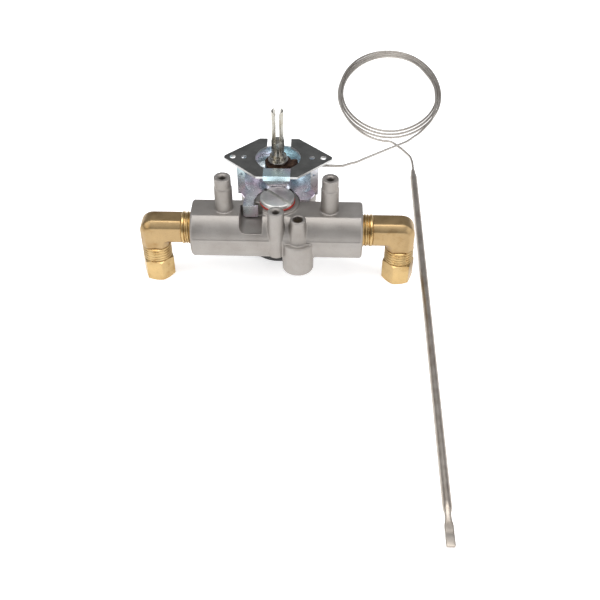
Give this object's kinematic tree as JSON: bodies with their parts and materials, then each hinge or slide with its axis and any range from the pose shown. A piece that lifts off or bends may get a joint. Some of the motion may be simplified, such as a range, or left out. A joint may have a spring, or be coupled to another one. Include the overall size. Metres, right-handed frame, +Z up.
{
  "type": "thermostatic gas valve",
  "caption": "Die-cast gas valve with brass compression elbows, a plated bonnet, a slotted dial shaft, and a sensing bulb on a coiled capillary.",
  "frame": {"origin": "centre of the bounding box's base without the capillary and bulb, on the plane that the two nuts stand on", "axes": "+X along the body from outlet to inlet, +Y away from the front post, +Z up along the dial shaft"},
  "size_m": [0.2104, 0.4977, 0.1055],
  "materials": {
    "casting": "satin die-cast",
    "brass_forging": "tumbled",
    "brass_nut": "machined",
    "plug_steel": "machined",
    "seal_red": "matte",
    "black_rubber": "matte",
    "bright_steel": "bright plated",
    "black_cap": "satin",
    "gasket_fibre": "matte",
    "zinc_plate": "blue zinc plate",
    "dark_plate": "dark satin plate",
    "shaft_steel": "bright turned",
    "stop_brown": "browned",
    "capillary_steel": "drawn stainless",
    "bulb_steel": "drawn stainless, dull"
  },
  "bodies": {
    "valve": {"valve_body": "casting", "inlet_elbow": "brass_forging", "outlet_elbow": "brass_forging", "inlet_ferrule": "brass_forging", "outlet_ferrule": "brass_forging", "seat_plug": "plug_steel", "plug_seal_ring": "seal_red", "bottom_cap": "black_cap", "cap_gasket": "gasket_fibre", "cap_screws": "bright_steel", "bonnet": "zinc_plate", "bonnet_screws": "bright_steel", "front_tongue": "zinc_plate", "bracket_plate": "dark_plate", "shaft_bushing": "brass_forging", "valve_spring": "bright_steel", "capillary_gland": "capillary_steel", "capillary_lead": "capillary_steel", "capillary_coil": "capillary_steel", "capillary_tail": "capillary_steel", "sensing_bulb": "bulb_steel"},
    "dial": {"dial_shaft": "shaft_steel", "stop_disc": "stop_brown", "retaining_clip": "bright_steel"},
    "stem": {"push_stem": "bright_steel", "power_element": "bright_steel", "valve_disc": "brass_forging", "disc_facing": "black_rubber"},
    "bypass": {"bypass_screw": "brass_forging", "bypass_o_ring": "black_rubber"},
    "inlet_nut_body": {"inlet_nut": "brass_nut"},
    "outlet_nut_body": {"outlet_nut": "brass_nut"}
  },
  "joints": [
    {"name": "dial_turn", "type": "hinge", "parent": "valve", "child": "dial", "pos_m": [0, 0.0075, 0.09], "axis": [0, 0, 1], "range_deg": [0, 270]},
    {"name": "stem_lift", "type": "slide", "parent": "valve", "child": "stem", "axis": [0, 0, -1], "range_m": [0, 0.00075], "deforming": ["valve_spring"]},
    {"name": "bypass_turn", "type": "hinge", "parent": "valve", "child": "bypass", "pos_m": [0.013, -0.0295, 0.045], "axis": [0, 0, 1], "range_deg": [-180, 180]},
    {"name": "inlet_nut_turn", "type": "hinge", "parent": "valve", "child": "inlet_nut_body", "pos_m": [0.07575, -0.0165, 0.0075], "axis": [0, 0, 1], "range_deg": [0, 360]},
    {"name": "outlet_nut_turn", "type": "hinge", "parent": "valve", "child": "outlet_nut_body", "pos_m": [-0.07575, -0.0165, 0.0075], "axis": [0, 0, 1], "range_deg": [0, 360]}
  ],
  "couplings": [
    {"joint": "stem_lift", "follows": "dial_turn", "m_per_rad": 0.00015915}
  ]
}
